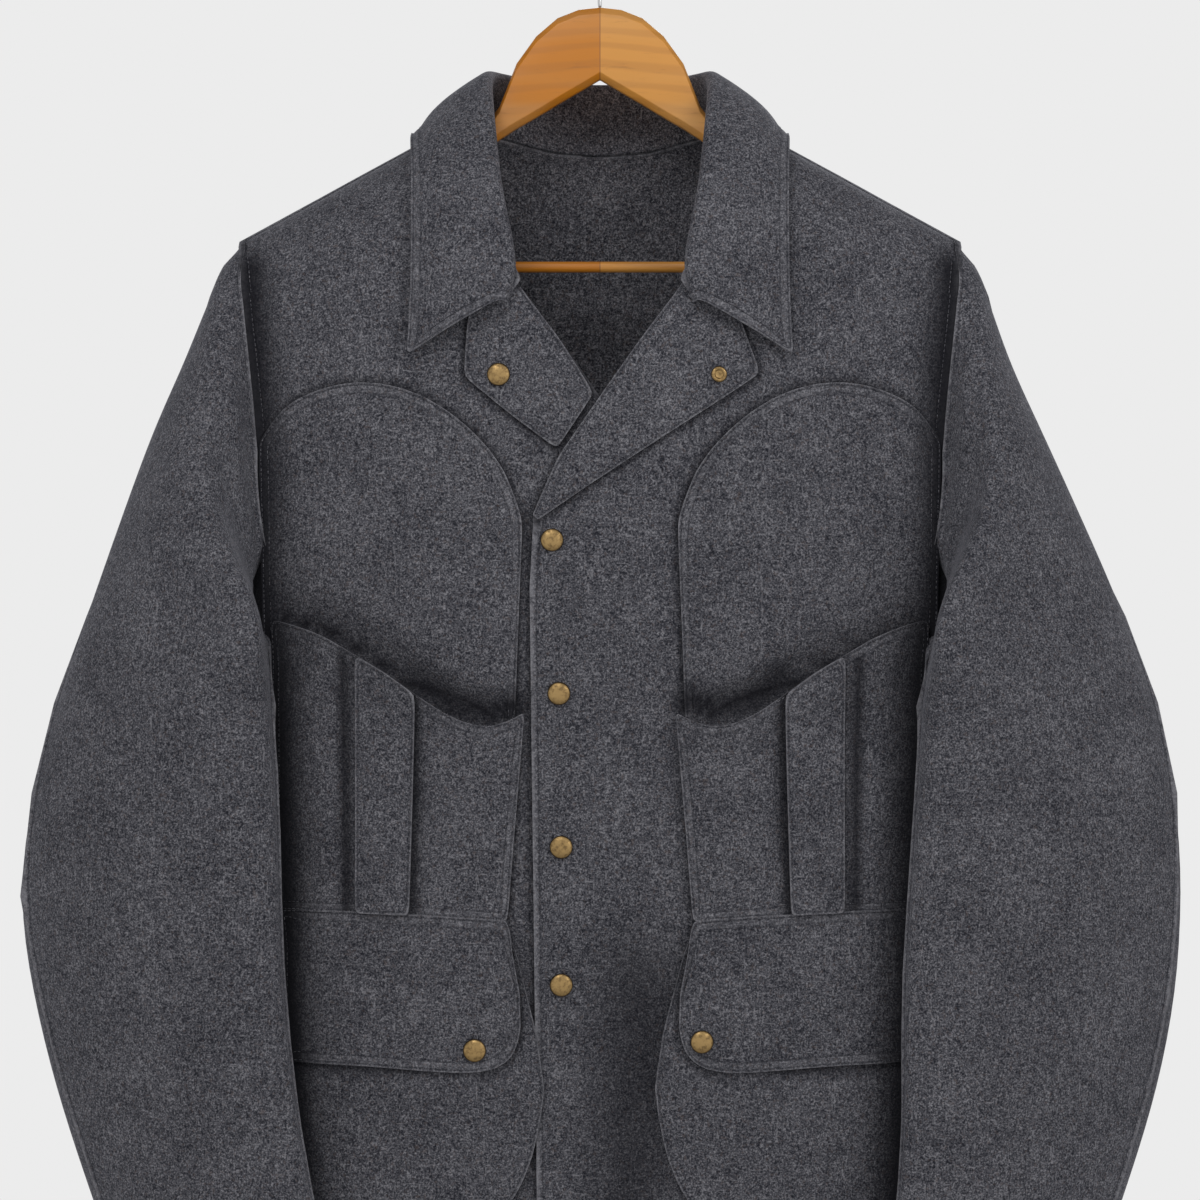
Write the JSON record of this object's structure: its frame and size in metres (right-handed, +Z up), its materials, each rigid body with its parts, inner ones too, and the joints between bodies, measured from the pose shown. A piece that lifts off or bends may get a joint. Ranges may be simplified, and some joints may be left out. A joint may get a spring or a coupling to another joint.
{
  "type": "wool work jacket hanging on a wooden coat hanger",
  "caption": "Grey wool painter jacket with patch pockets, chest panels and press studs, hanging on a plain wooden hanger with a steel hook.",
  "frame": {"origin": "top of the hook's inside, where it rests on a rail", "axes": "+Z up out of the hanger's hook, -Y towards the jacket's front, +X the wearer's left"},
  "size_m": [0.768, 0.1753, 0.8981],
  "materials": {
    "wool": "felted, heathered, matt",
    "brass": "antique, mottled",
    "wood": "clear satin lacquer",
    "steel": "bright wire"
  },
  "bodies": {
    "root": {"front_right": "wool", "front_left": "wool", "back": "wool", "sleeve_front_right": "wool", "sleeve_back_right": "wool", "sleeve_front_left": "wool", "sleeve_back_left": "wool", "lapel_right": "wool", "lapel_left": "wool", "collar": "wool", "chest_panel_right": "wool", "breast_pocket_right": "wool", "pocket_pleat_right": "wool", "lower_pocket_right": "wool", "pocket_flap_right": "wool", "chest_panel_left": "wool", "breast_pocket_left": "wool", "pocket_pleat_left": "wool", "lower_pocket_left": "wool", "pocket_flap_left": "wool", "stud_front_1": "brass", "stud_front_2": "brass", "stud_front_3": "brass", "stud_front_4": "brass", "stud_lapel": "brass", "socket_lapel": "brass", "stud_flap_right": "brass", "stud_flap_left": "brass", "hanger_frame": "wood", "hanger_hook": "steel"}
  },
  "joints": []
}
